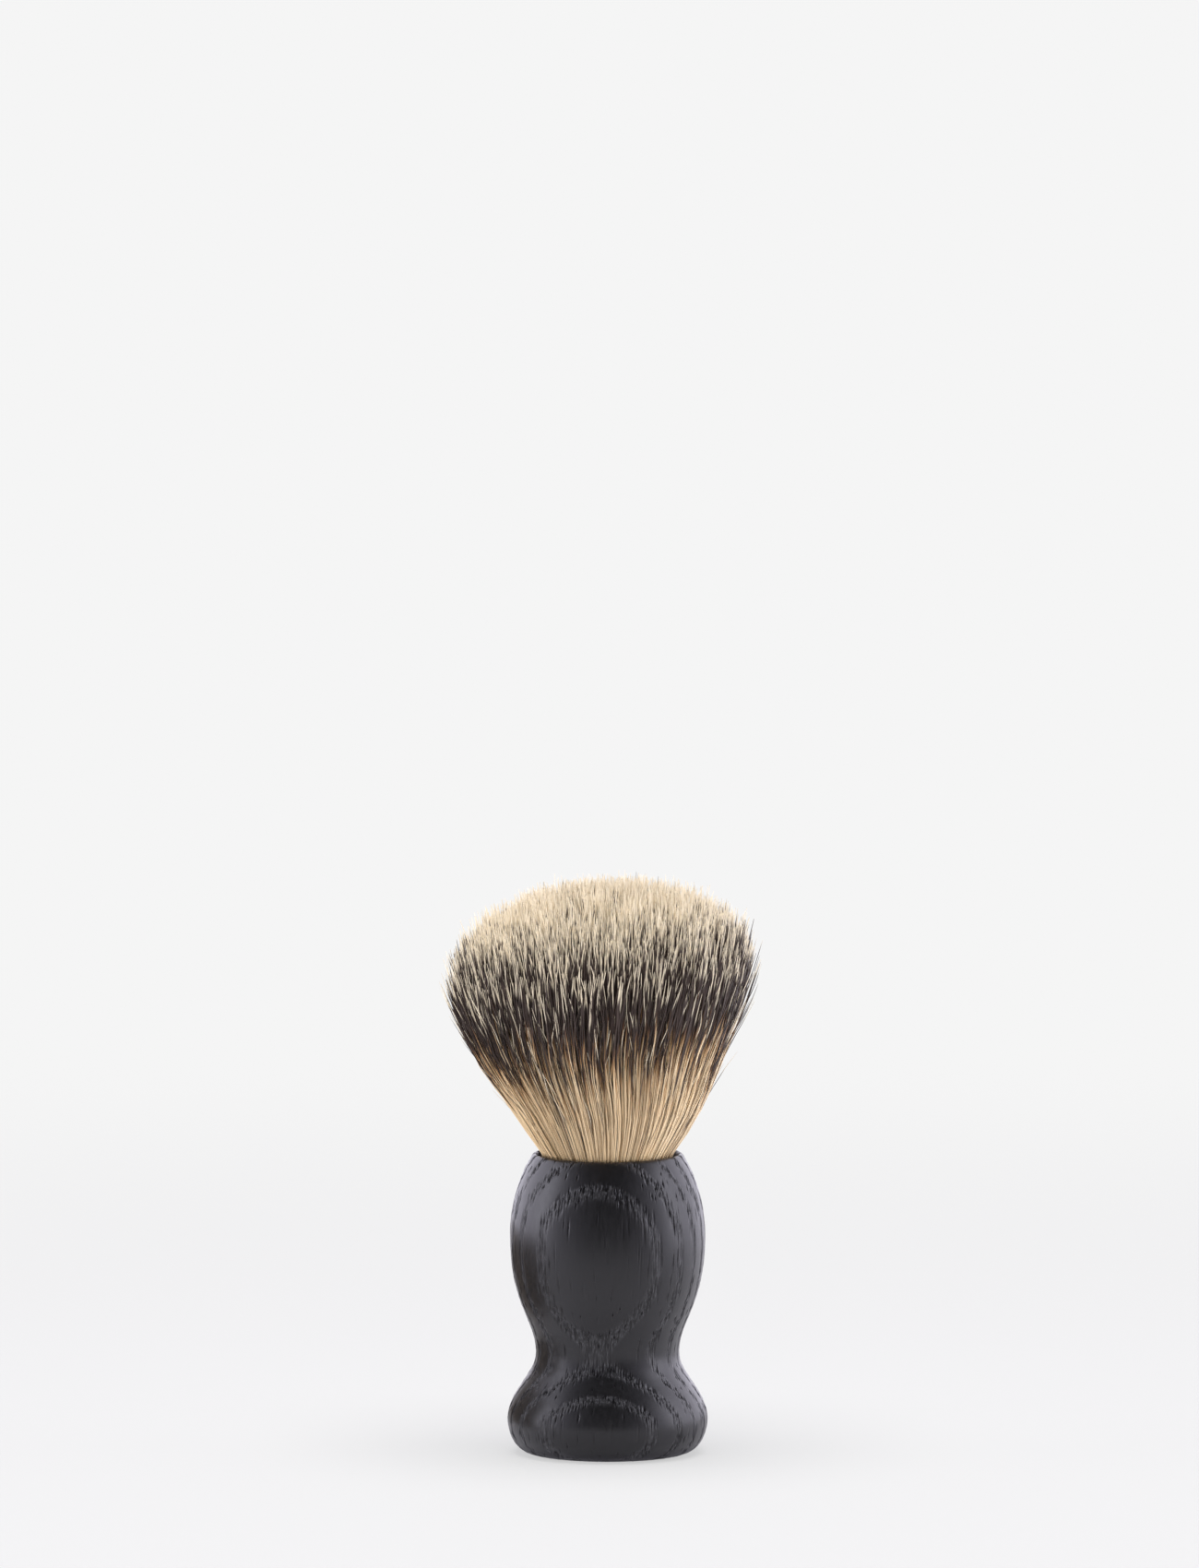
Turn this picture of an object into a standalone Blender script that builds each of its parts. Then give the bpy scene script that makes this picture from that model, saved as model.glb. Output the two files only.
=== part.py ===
"""Shaving brush: a turned, black-stained ash handle that holds a knot of synthetic filaments.

The brush stands on its foot with +Z up, and the origin is the centre of the foot.
The filament bundle bends in two places, so it is cut into three segments by spheres round
two hinges: the root stays in the handle, the backbone sweeps from side to side, and the
crown nods fore and aft on the backbone.
"""

import math

import bmesh
import bpy

# Clearance kept between neighbouring pieces.
GAP = 0.0003

# Handle, turned from one blank.
HANDLE_HEIGHT = 0.0523
FOOT_RADIUS = 0.0130
BASE_RADIUS = 0.01743
BASE_HEIGHT = 0.00574
WAIST_RADIUS = 0.01245
WAIST_HEIGHT = 0.01735
BODY_RADIUS = 0.01696
BODY_HEIGHT = 0.0379
RIM_ROUND = 0.00035
RIM_LEAN = math.radians(37)
# How far each end's tangent reaches into its stretch of the outline.
FOOT_REACH = (0.85, 0.185)
BASE_REACH = (0.396, 0.312)
WAIST_REACH = (0.282, 0.595)
BODY_REACH = (0.563, 0.064)

# Socket bored into the top of the handle, with the pilot hole of the drill.
SOCKET_RADIUS = 0.0123
SOCKET_DEPTH = 0.0120
PILOT_RADIUS = 0.0015
PILOT_DEPTH = 0.0025
PILOT_CONE = 0.0006

# Cast resin plug that grips the filaments, and the adhesive round it.
ADHESIVE_FLOOR = 0.0005
ADHESIVE_SKIRT = 0.0004
ADHESIVE_FILL = 0.0060
PLUG_HEIGHT = 0.0068
PLUG_CHAMFER = 0.0006
PLUG_DISH = 0.0003

# Cord wound round the foot of the bundle.
CORD_RADIUS = 0.0003
CORD_TURNS = 3
CORD_PITCH = 0.00075
CORD_STEPS = 24
CORD_SIDES = 6

# Filament bundle: height and radius of its widest ring, and its full height, above the rim.
MOUTH_RADIUS = SOCKET_RADIUS - GAP
SHOULDER_RADIUS = 0.0268
SHOULDER_RISE = 0.0308
BUNDLE_RISE = 0.0480
MOUTH_FLARE = 0.553
MOUTH_REACH = 0.0100
SHOULDER_REACH = (0.0074, 0.0093)
CROWN_REACH = 0.0160

# Hinges of the bundle: height of each axis, and radius of the sphere that divides there.
SWEEP_HEIGHT = HANDLE_HEIGHT - 0.0023
SWEEP_SPHERE = 0.0200
NOD_HEIGHT = HANDLE_HEIGHT + 0.0137
NOD_SPHERE = 0.0260

# Fineness of the turned surfaces.
HANDLE_SEGMENTS = 64
BUNDLE_SEGMENTS = 56
CURVE_STEPS = 8
RIM_STEPS = 4
# The bundle's side is drawn finely, then thinned to every few points.
FINE_STEPS = 48
THINNING = 5
WELD_DISTANCE = 1e-7
SHARP_ANGLE = math.radians(40)


def socket_floor():
    """Height of the floor of the socket."""
    return HANDLE_HEIGHT - SOCKET_DEPTH


def adhesive_bottom():
    """Height of the underside of the adhesive."""
    return socket_floor() + GAP


def plug_bottom():
    """Height of the underside of the resin plug."""
    return adhesive_bottom() + ADHESIVE_FLOOR + GAP


def plug_top():
    """Height of the rim of the resin plug's upper face."""
    return plug_bottom() + PLUG_HEIGHT


def cord_ring():
    """Radius of the cord's centreline."""
    return SOCKET_RADIUS - GAP - CORD_RADIUS


def bezier(start, start_handle, end_handle, end, steps=CURVE_STEPS):
    """Points along one cubic curve, without its first point."""
    points = []
    for step in range(1, steps + 1):
        t = step / steps
        s = 1.0 - t
        weights = (s * s * s, 3 * s * s * t, 3 * s * t * t, t * t * t)
        corners = (start, start_handle, end_handle, end)
        radius = sum(w * corner[0] for w, corner in zip(weights, corners))
        height = sum(w * corner[1] for w, corner in zip(weights, corners))
        points.append((radius, height))
    return points


def upright_span(start, end, reach, steps=CURVE_STEPS):
    """Curve that leaves start and meets end upright."""
    rise = end[1] - start[1]
    start_handle = (start[0], start[1] + reach[0] * rise)
    end_handle = (end[0], end[1] - reach[1] * rise)
    return bezier(start, start_handle, end_handle, end, steps)


def arc(centre, radius, start, end, steps):
    """Points of a circular arc in the (radius, height) plane, both ends included."""
    points = []
    for step in range(steps + 1):
        angle = start + (end - start) * step / steps
        points.append((centre[0] + radius * math.cos(angle), centre[1] + radius * math.sin(angle)))
    return points


def handle_side():
    """Outline of the handle from the edge of its foot to the start of its rounded rim."""
    foot = (FOOT_RADIUS, 0.0)
    base = (BASE_RADIUS, BASE_HEIGHT)
    waist = (WAIST_RADIUS, WAIST_HEIGHT)
    body = (BODY_RADIUS, BODY_HEIGHT)
    rim = rim_arc()[0]
    foot_handle = (FOOT_RADIUS + FOOT_REACH[0] * (BASE_RADIUS - FOOT_RADIUS), 0.0)
    base_handle = (BASE_RADIUS, BASE_HEIGHT * (1.0 - FOOT_REACH[1]))
    rise = rim[1] - BODY_HEIGHT
    body_handle = (BODY_RADIUS, BODY_HEIGHT + BODY_REACH[0] * rise)
    lean = math.tan(RIM_LEAN)
    rim_handle = (rim[0] + lean * BODY_REACH[1] * rise, rim[1] - BODY_REACH[1] * rise)
    points = [foot]
    points += bezier(foot, foot_handle, base_handle, base)
    points += upright_span(base, waist, BASE_REACH)
    points += upright_span(waist, body, WAIST_REACH)
    points += bezier(body, body_handle, rim_handle, rim)
    return points


def rim_arc():
    """Rounded rim, from the outside of the handle over the top to the socket's wall."""
    centre = (SOCKET_RADIUS + RIM_ROUND, HANDLE_HEIGHT - RIM_ROUND)
    return arc(centre, RIM_ROUND, RIM_LEAN, math.pi, RIM_STEPS)


def handle_outline():
    """Whole section of the handle, from the foot's centre round to the pilot hole's tip."""
    floor = socket_floor()
    pilot_floor = floor - PILOT_DEPTH
    outline = [(0.0, 0.0)]
    outline += handle_side()
    outline += rim_arc()[1:]
    outline.append((SOCKET_RADIUS, floor))
    outline.append((PILOT_RADIUS, floor))
    outline.append((PILOT_RADIUS, pilot_floor + PILOT_CONE))
    outline.append((0.0, pilot_floor))
    return outline


def adhesive_outline():
    """Section of the adhesive: a key in the pilot hole, a thin floor and a skirt."""
    bottom = adhesive_bottom()
    floor = bottom + ADHESIVE_FLOOR
    outer = SOCKET_RADIUS - GAP
    inner = outer - ADHESIVE_SKIRT
    key = PILOT_RADIUS - GAP
    key_bottom = socket_floor() - PILOT_DEPTH + PILOT_CONE + GAP
    top = bottom + ADHESIVE_FILL
    return [
        (0.0, key_bottom),
        (key, key_bottom),
        (key, bottom),
        (outer, bottom),
        (outer, top),
        (inner, top),
        (inner, floor),
        (0.0, floor),
    ]


def plug_outline():
    """Section of the resin plug: chamfered below, slightly dished above."""
    bottom = plug_bottom()
    radius = SOCKET_RADIUS - GAP - ADHESIVE_SKIRT - GAP
    return [
        (0.0, bottom),
        (radius - PLUG_CHAMFER, bottom),
        (radius, bottom + PLUG_CHAMFER),
        (radius, plug_top()),
        (0.0, plug_top() - PLUG_DISH),
    ]


def bundle_side():
    """Outline of the bundle from the foot of its filaments to the tip of its dome."""
    inside = cord_ring() - CORD_RADIUS - GAP
    foot = plug_top() + GAP
    cord_top = foot + 2 * CORD_RADIUS + CORD_TURNS * CORD_PITCH
    mouth = (MOUTH_RADIUS, HANDLE_HEIGHT)
    shoulder = (SHOULDER_RADIUS, HANDLE_HEIGHT + SHOULDER_RISE)
    apex = (0.0, HANDLE_HEIGHT + BUNDLE_RISE)
    mouth_handle = (MOUTH_RADIUS + MOUTH_FLARE * MOUTH_REACH, HANDLE_HEIGHT + MOUTH_REACH)
    below_shoulder = (SHOULDER_RADIUS, shoulder[1] - SHOULDER_REACH[0])
    above_shoulder = (SHOULDER_RADIUS, shoulder[1] + SHOULDER_REACH[1])
    beside_apex = (CROWN_REACH, apex[1])
    points = [(inside, foot), (inside, cord_top), mouth]
    points += bezier(mouth, mouth_handle, below_shoulder, shoulder, FINE_STEPS)
    points += bezier(shoulder, above_shoulder, beside_apex, apex, FINE_STEPS)
    return points


def crossing(side, centre_height, radius):
    """Point where the bundle's side leaves a sphere round the brush's axis."""
    for below, above in zip(side, side[1:]):
        reach_below = math.hypot(below[0], below[1] - centre_height)
        reach_above = math.hypot(above[0], above[1] - centre_height)
        if reach_below <= radius < reach_above:
            t = (radius - reach_below) / (reach_above - reach_below)
            along = below[0] + t * (above[0] - below[0])
            up = below[1] + t * (above[1] - below[1])
            return (along, up)
    raise ValueError("the sphere never meets the side of the bundle")


def cap(side, centre_height, radius, outward):
    """Spherical cap inside the bundle, from the axis outwards or back to the axis."""
    edge = crossing(side, centre_height, radius)
    edge_angle = math.atan2(edge[1] - centre_height, edge[0])
    points = arc((0.0, centre_height), radius, edge_angle, math.pi / 2, CURVE_STEPS)
    points[-1] = (0.0, centre_height + radius)
    return points[::-1] if outward else points


def side_between(side, low, high):
    """Points of the bundle's side strictly between two heights, thinned out."""
    inside = [point for point in side if low + GAP < point[1] < high - GAP]
    return inside[::THINNING]


def root_outline():
    """Section of the filaments' fixed foot, domed round the sweep hinge."""
    side = bundle_side()
    top = cap(side, SWEEP_HEIGHT, SWEEP_SPHERE, outward=False)
    below = [(0.0, side[0][1]), side[0], side[1], side[2]]
    return below + side_between(side, HANDLE_HEIGHT, top[0][1]) + top


def backbone_outline():
    """Section of the filaments' middle, between the two spheres."""
    side = bundle_side()
    bottom = cap(side, SWEEP_HEIGHT, SWEEP_SPHERE + GAP, outward=True)
    top = cap(side, NOD_HEIGHT, NOD_SPHERE, outward=False)
    return bottom + side_between(side, bottom[-1][1], top[0][1]) + top


def crown_outline():
    """Section of the filaments' tips, a dome that rides on the backbone's sphere."""
    side = bundle_side()
    bottom = cap(side, NOD_HEIGHT, NOD_SPHERE + GAP, outward=True)
    apex = side[-1]
    return bottom + side_between(side, bottom[-1][1], apex[1]) + [apex]


def new_material(name, colour, roughness):
    """Plain Principled material."""
    material = bpy.data.materials.new(name)
    material.use_nodes = True
    shader = material.node_tree.nodes["Principled BSDF"]
    shader.inputs["Base Color"].default_value = (*colour, 1.0)
    shader.inputs["Roughness"].default_value = roughness
    shader.inputs["Metallic"].default_value = 0.0
    material.diffuse_color = (*colour, 1.0)
    return material


def new_object(name, mesh_builder, material, parent=None):
    """Object of one piece, shaded smooth between its sharp edges."""
    mesh = bpy.data.meshes.new(name)
    mesh_builder.to_mesh(mesh)
    mesh_builder.free()
    mesh.shade_smooth()
    mesh.set_sharp_from_angle(angle=SHARP_ANGLE)
    mesh.materials.append(material)
    piece = bpy.data.objects.new(name, mesh)
    bpy.context.scene.collection.objects.link(piece)
    piece.parent = parent
    return piece


def turned(name, outline, material, segments, parent=None, pivot_height=0.0):
    """Solid of revolution round the brush's axis, with its origin at the pivot height."""
    shape = bmesh.new()
    points = [shape.verts.new((radius, 0.0, height - pivot_height)) for radius, height in outline]
    edges = [shape.edges.new(pair) for pair in zip(points, points[1:])]
    bmesh.ops.spin(
        shape,
        geom=points + edges,
        cent=(0.0, 0.0, 0.0),
        axis=(0.0, 0.0, 1.0),
        angle=math.tau,
        steps=segments,
        use_merge=True,
    )
    bmesh.ops.remove_doubles(shape, verts=shape.verts, dist=WELD_DISTANCE)
    bmesh.ops.recalc_face_normals(shape, faces=shape.faces)
    return new_object(name, shape, material, parent)


def hinge_empty(name, height, parent=None):
    """Empty on the brush's axis at the height of a hinge."""
    empty = bpy.data.objects.new(name, None)
    empty.empty_display_size = SHOULDER_RADIUS
    bpy.context.scene.collection.objects.link(empty)
    empty.parent = parent
    lower = parent.location.z if parent else 0.0
    empty.location = (0.0, 0.0, height - lower)
    return empty


def cord_section(angle, height):
    """Ring of points round the cord's centreline, square to the winding."""
    climb = math.atan2(CORD_PITCH, math.tau * cord_ring())
    ring = []
    for side in range(CORD_SIDES):
        turn = math.tau * side / CORD_SIDES
        outward = CORD_RADIUS * math.cos(turn)
        upward = CORD_RADIUS * math.sin(turn)
        radius = cord_ring() + outward
        lag = upward * math.sin(climb)
        x = radius * math.cos(angle) + lag * math.sin(angle)
        y = radius * math.sin(angle) - lag * math.cos(angle)
        ring.append((x, y, height + upward * math.cos(climb)))
    return ring


def make_handle():
    """Turned wooden handle with its bored socket."""
    stain = new_material("black_stained_ash", colour=(0.020, 0.020, 0.022), roughness=0.38)
    return turned("handle", handle_outline(), stain, HANDLE_SEGMENTS)


def make_adhesive_bed():
    """Cured adhesive between the plug and the socket."""
    epoxy = new_material("amber_epoxy", colour=(0.55, 0.38, 0.16), roughness=0.25)
    return turned("adhesive_bed", adhesive_outline(), epoxy, BUNDLE_SEGMENTS)


def make_resin_plug():
    """Cast plug in which the filaments end."""
    resin = new_material("cast_resin", colour=(0.30, 0.20, 0.10), roughness=0.35)
    return turned("resin_plug", plug_outline(), resin, BUNDLE_SEGMENTS)


def make_binding_cord():
    """Thread wound round the foot of the bundle before it is cast into its plug."""
    thread = new_material("waxed_thread", colour=(0.62, 0.55, 0.42), roughness=0.70)
    shape = bmesh.new()
    start_height = plug_top() + GAP + CORD_RADIUS
    steps = CORD_TURNS * CORD_STEPS
    rings = []
    for step in range(steps + 1):
        turns = step / CORD_STEPS
        section = cord_section(math.tau * turns, start_height + CORD_PITCH * turns)
        rings.append([shape.verts.new(point) for point in section])
    for ring, following in zip(rings, rings[1:]):
        for side in range(CORD_SIDES):
            after = (side + 1) % CORD_SIDES
            shape.faces.new((ring[side], ring[after], following[after], following[side]))
    shape.faces.new(rings[0])
    shape.faces.new(rings[-1])
    bmesh.ops.recalc_face_normals(shape, faces=shape.faces)
    return new_object("binding_cord", shape, thread)


def make_bundle():
    """Filament bundle in its three segments, each moving one on its hinge."""
    cream = new_material("filament_root_cream", colour=(0.62, 0.47, 0.30), roughness=0.55)
    dark = new_material("filament_band_dark", colour=(0.045, 0.032, 0.028), roughness=0.50)
    ivory = new_material("filament_tip_ivory", colour=(0.72, 0.62, 0.44), roughness=0.55)
    sweep = hinge_empty("sweep_hinge", SWEEP_HEIGHT)
    nod = hinge_empty("nod_hinge", NOD_HEIGHT, sweep)
    turned("bristle_root", root_outline(), cream, BUNDLE_SEGMENTS)
    turned("bristle_backbone", backbone_outline(), dark, BUNDLE_SEGMENTS, sweep, SWEEP_HEIGHT)
    turned("bristle_crown", crown_outline(), ivory, BUNDLE_SEGMENTS, nod, NOD_HEIGHT)


def clear_scene():
    """Remove the objects that the scene starts with."""
    for item in list(bpy.data.objects):
        bpy.data.objects.remove(item, do_unlink=True)


def main():
    """Build the whole brush."""
    clear_scene()
    make_handle()
    make_adhesive_bed()
    make_resin_plug()
    make_binding_cord()
    make_bundle()
    bpy.context.view_layer.update()


main()
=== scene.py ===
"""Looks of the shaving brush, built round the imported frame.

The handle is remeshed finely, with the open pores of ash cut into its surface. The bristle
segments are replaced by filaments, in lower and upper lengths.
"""

import math

import bpy
import numpy as np
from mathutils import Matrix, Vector


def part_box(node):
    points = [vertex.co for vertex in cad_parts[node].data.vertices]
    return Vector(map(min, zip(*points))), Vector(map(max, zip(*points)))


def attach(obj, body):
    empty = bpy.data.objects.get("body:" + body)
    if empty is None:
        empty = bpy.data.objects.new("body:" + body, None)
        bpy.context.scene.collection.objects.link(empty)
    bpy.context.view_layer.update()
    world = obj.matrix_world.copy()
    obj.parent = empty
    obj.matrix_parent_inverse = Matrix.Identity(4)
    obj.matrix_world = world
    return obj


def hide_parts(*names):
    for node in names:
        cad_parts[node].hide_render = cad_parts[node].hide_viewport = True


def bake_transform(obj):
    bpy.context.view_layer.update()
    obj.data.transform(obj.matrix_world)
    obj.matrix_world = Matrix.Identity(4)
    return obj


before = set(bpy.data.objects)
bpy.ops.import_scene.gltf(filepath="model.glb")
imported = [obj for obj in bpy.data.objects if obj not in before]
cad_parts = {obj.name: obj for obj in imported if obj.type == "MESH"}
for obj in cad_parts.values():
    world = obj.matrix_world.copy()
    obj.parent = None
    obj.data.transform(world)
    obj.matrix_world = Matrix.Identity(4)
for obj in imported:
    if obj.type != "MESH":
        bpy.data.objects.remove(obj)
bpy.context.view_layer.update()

MM = 0.001
RIM_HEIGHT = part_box("handle")[1][2]
# The exporter keeps a UV layer of this name for its colour maps.
UV_NAME = "OFBake"

# Handle mesh. Rows lie closer together where the surface leans more, between the two leans.
HANDLE_COLUMNS = 720
ROW_SPACING = (0.95 * MM, 0.37 * MM)
ROW_LEANS = (0.05, 0.35)
TRIAL_ROWS = 600
# Extra rings of points across the foot, down the socket's wall and across its floor, as shares.
FOOT_RINGS = (0.2, 0.4, 0.6, 0.8, 0.93)
WALL_RINGS = (0.1, 0.4, 0.7)
FLOOR_RINGS = (0.1, 0.5)
HANDLE_CREASE = math.radians(65)

# Growth rings of the blank: wide cylinders round a pith far behind the handle, which leans forward.
PITH_X = 7.3 * MM
PITH_Y = 60.0 * MM
PITH_HEIGHT = 38.0 * MM
PITH_LEAN = 0.085
RING_START = 74.35 * MM
RING_SPACING = 3.3 * MM
RING_WOBBLE = 0.10 * MM
# Lengths of the two waves in the rings, across and up the handle.
WOBBLE_WAVES = ((2.9 * MM, 7.3 * MM), (-5.1 * MM, 3.7 * MM))
# Each ring starts with porous earlywood, which fades in and out over its edge.
EARLYWOOD_SHARE = 0.25
EARLYWOOD_EDGE = 0.05
EARLYWOOD_SINK = 0.015 * MM

# Open pores. They are long where the surface follows the grain, and short where it leans.
PORE_SEED = 11
PORE_DENSITY = 4.0 / MM**2
# Share of the pores that is kept where the surface follows the grain.
UPRIGHT_DENSITY = 0.45
# Chance of a pore in the latewood, and in a thin row there: its place, half width and chance.
LATEWOOD_PORES = 0.02
LATE_ROW = (0.58, 0.04, 0.12)
PORE_HALF_WIDTH = (0.08 * MM, 0.15 * MM)
PORE_DEPTH = (0.10 * MM, 0.22 * MM)
PORE_HALF_LENGTH = (0.30 * MM, 1.70 * MM)
# Width of the tube that the surface cuts open, and the least lean that it is cut at.
PORE_TUBE = 0.16 * MM
LEAST_LEAN = 0.02
# Share of its depth that a pore keeps where it is cut lengthways, and the lean that cuts it fully.
GRAZING_DEPTH = 0.55
FULL_DEPTH_LEAN = 0.3
# Height of the lip beside each pore, and how far out it ends, in half widths.
PORE_LIP = 0.052 * MM
LIP_REACH = 2.0

# Filaments. They are thinner at the rim, where they are crowded, and taper to their tips.
FILAMENTS = 13500
FILAMENT_SIDES = 3
FILAMENT_RADIUS = 0.125 * MM
ROOT_SHARE = 0.60
ROOT_TAPER = 26.0 * MM
TIP_SHARE = 0.32
TAPER_LENGTH = 6.0 * MM
ROOT_HEIGHT = -3.6 * MM
MOUTH_SHARE = 0.97
LOWER_STATIONS = 8
UPPER_STATIONS = 7
SPLIT_HEIGHT = 75.0 * MM
SHORTEST_TOP = 1.5 * MM
LAYERS = ("core", "middle", "sleeve")

# Colour map of the filaments: v is the distance to the tip, as a share of the longest, and each
# filament keeps to one of the columns. The first columns have long ivory tips and serve the inside
# of the bundle. Those from the middle column on have shorter ones, and those from the outer column
# on the shortest.
LONGEST = 60.0 * MM
COLOUR_COLUMNS = 512
MIDDLE_COLUMN = 256
OUTER_COLUMN = 384
COLUMN_REACH = 0.3


# Meshes

def new_mesh(name, points, faces):
    """Mesh of an (n, 3) array of points and a list of arrays, each of faces with one corner count."""
    sizes = np.concatenate([np.full(len(group), group.shape[1]) for group in faces])
    corners = np.concatenate([group.ravel() for group in faces])
    starts = np.concatenate([[0], np.cumsum(sizes)[:-1]])
    mesh = bpy.data.meshes.new(name)
    mesh.vertices.add(len(points))
    mesh.vertices.foreach_set("co", np.asarray(points, np.float32).ravel())
    mesh.loops.add(len(corners))
    mesh.loops.foreach_set("vertex_index", corners.astype(np.int32))
    mesh.polygons.add(len(sizes))
    mesh.polygons.foreach_set("loop_start", starts.astype(np.int32))
    mesh.update(calc_edges=True)
    mesh.shade_smooth()
    return mesh


def new_piece(name, mesh, material):
    """Object that shows a mesh in one material."""
    mesh.materials.append(material)
    piece = bpy.data.objects.new(name, mesh)
    bpy.context.scene.collection.objects.link(piece)
    return piece


def add_uv(mesh, corner_uvs):
    """UV layer for the colour maps, from one (u, v) pair for each face corner."""
    layer = mesh.uv_layers.new(name=UV_NAME)
    layer.data.foreach_set("uv", np.asarray(corner_uvs, np.float32).ravel())


def add_point_value(mesh, name, values):
    """One number for each point, which the material reads by name."""
    attribute = mesh.attributes.new(name, "FLOAT", "POINT")
    attribute.data.foreach_set("value", np.asarray(values, np.float32).ravel())


def node_points(node):
    """Corners of a CAD node's mesh as an (n, 3) array."""
    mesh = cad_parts[node].data
    points = np.empty(len(mesh.vertices) * 3, np.float32)
    mesh.vertices.foreach_get("co", points)
    return points.reshape(-1, 3).astype(float)


def around(radius, angle):
    """Places on circles round the brush's axis, with angles counted from its front, as x and y."""
    return radius * np.sin(angle), -radius * np.cos(angle)


def smoothstep(low, high, value):
    """Smooth rise from 0 at low to 1 at high."""
    t = np.clip((value - low) / (high - low), 0.0, 1.0)
    return t * t * (3.0 - 2.0 * t)


# Handle

def half_section(node):
    """Outline of a turned CAD node in (radius, height), from the middle of its flat foot."""
    tolerance = 1e-6
    keys = np.round(node_points(node) / tolerance).astype(int)
    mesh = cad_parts[node].data
    neighbours = {}
    for edge in mesh.edges:
        first, second = (tuple(keys[corner]) for corner in edge.vertices)
        if first == second or abs(first[1]) > 1 or abs(second[1]) > 1:
            continue
        if first[0] < 0 or second[0] < 0:
            continue
        neighbours.setdefault(first, set()).add(second)
        neighbours.setdefault(second, set()).add(first)
    here = min(key for key in neighbours if key[0] == 0)
    path = [here]
    while True:
        onward = [key for key in neighbours[here] if key not in path]
        if not onward:
            break
        here = max(onward)
        path.append(here)
    path.append((0, 0, path[-1][2]))
    return np.array([(key[0], key[2]) for key in reversed(path)]) * tolerance


def distances(points):
    """Distance of each point along the line that joins them."""
    steps = np.hypot(*np.diff(points, axis=0).T)
    return np.concatenate([[0.0], np.cumsum(steps)])


def smooth_curve(points, places):
    """Points at the given distances along a smooth curve through an outline's points."""
    along = distances(points)
    slopes = np.gradient(points, along, axis=0)
    span = np.clip(np.searchsorted(along, places, side="right") - 1, 0, len(along) - 2)
    width = (along[span + 1] - along[span])[:, None]
    t = (places - along[span])[:, None] / width
    start = points[span] * (1 + 2 * t) * (1 - t) ** 2 + slopes[span] * width * t * (1 - t) ** 2
    end = points[span + 1] * t**2 * (3 - 2 * t) + slopes[span + 1] * width * t**2 * (t - 1)
    return start + end


def side_rows(points):
    """Fine rows up the handle's side, closest together where it leans and its pores are short."""
    trial = np.linspace(0.0, distances(points)[-1], TRIAL_ROWS)
    lean = np.abs(np.gradient(smooth_curve(points, trial)[:, 0], trial))
    spacing = np.interp(lean, ROW_LEANS, ROW_SPACING)
    reached = np.concatenate([[0.0], np.cumsum(np.diff(trial) / spacing[1:])])
    wanted = np.linspace(0.0, reached[-1], int(round(reached[-1])) + 1)
    return smooth_curve(points, np.interp(wanted, reached, trial))


def handle_rows():
    """Fine outline of the handle, and the first and last rows of its outer surface."""
    section = half_section("handle")
    lengths = np.hypot(*np.diff(section, axis=0).T)
    wall = 1 + int(np.argmax(lengths[1:]))
    side = side_rows(section[1 : wall + 1])
    foot = [section[1] * share for share in FOOT_RINGS]
    lip, corner, pilot = section[wall], section[wall + 1], section[wall + 2]
    walls = [lip + (corner - lip) * share for share in WALL_RINGS]
    floor = [corner + (pilot - corner) * share for share in FLOOR_RINGS]
    rows = np.vstack([section[:1], foot, side, walls, [corner], floor, section[wall + 2 :]])
    first = 1 + len(foot)
    return rows, first, first + len(side)


def ring_place(x, y, z):
    """How far each point lies beyond the start of its growth ring, as a share of the ring."""
    pith_y = PITH_Y - PITH_LEAN * (z - PITH_HEIGHT)
    distance = np.hypot(x - PITH_X, y - pith_y)
    wobble = sum(np.sin(x / across + z / up) for across, up in WOBBLE_WAVES)
    return (distance + RING_WOBBLE * wobble - RING_START) / RING_SPACING % 1.0


def earlywood(place):
    """How much of each point is earlywood, the porous start of a ring."""
    rise = smoothstep(0.0, EARLYWOOD_EDGE, place)
    fall_start = EARLYWOOD_SHARE - EARLYWOOD_EDGE
    fall_end = EARLYWOOD_SHARE + 3 * EARLYWOOD_EDGE
    return rise * (1.0 - smoothstep(fall_start, fall_end, place))


def pore_chance(place):
    """Chance of a pore at each place in a ring: high in the earlywood, low beyond it."""
    late_place, late_half_width, late_share = LATE_ROW
    late = np.where(np.abs(place - late_place) < late_half_width, late_share, LATEWOOD_PORES)
    return np.maximum(earlywood(place), late)


def scatter_pores(rows, along):
    """Pores at random on the outer surface: angle, place along the outline, radius, lean and three draws."""
    rng = np.random.default_rng(PORE_SEED)
    widest = rows[:, 0].max()
    count = int(PORE_DENSITY * math.tau * widest * along[-1])
    angle = rng.random(count) * math.tau
    place = rng.random(count) * along[-1]
    draw = rng.random((count, 4))
    radius = np.interp(place, along, rows[:, 0])
    height = np.interp(place, along, rows[:, 1])
    lean = np.abs(np.interp(place, along, np.gradient(rows, along, axis=0)[:, 0]))
    ring = ring_place(*around(radius, angle), height)
    crowding = np.interp(lean, ROW_LEANS, (UPRIGHT_DENSITY, 1.0)) * radius / widest
    keep = draw[:, 0] < pore_chance(ring) * crowding
    return np.stack([angle, place, radius, lean, *draw[:, 1:].T], axis=1)[keep]


def pore_size(lean, draw):
    """Half width, depth and half length of a pore, from the surface's lean and three draws."""
    half_width = PORE_HALF_WIDTH[0] + draw[0] * np.ptp(PORE_HALF_WIDTH)
    deepest = PORE_DEPTH[0] + draw[1] * np.ptp(PORE_DEPTH)
    depth = deepest * (GRAZING_DEPTH + (1 - GRAZING_DEPTH) * min(1.0, lean / FULL_DEPTH_LEAN))
    reach = PORE_TUBE / (lean + LEAST_LEAN) * (0.5 + draw[2])
    return half_width, depth, float(np.clip(reach, *PORE_HALF_LENGTH))


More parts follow.
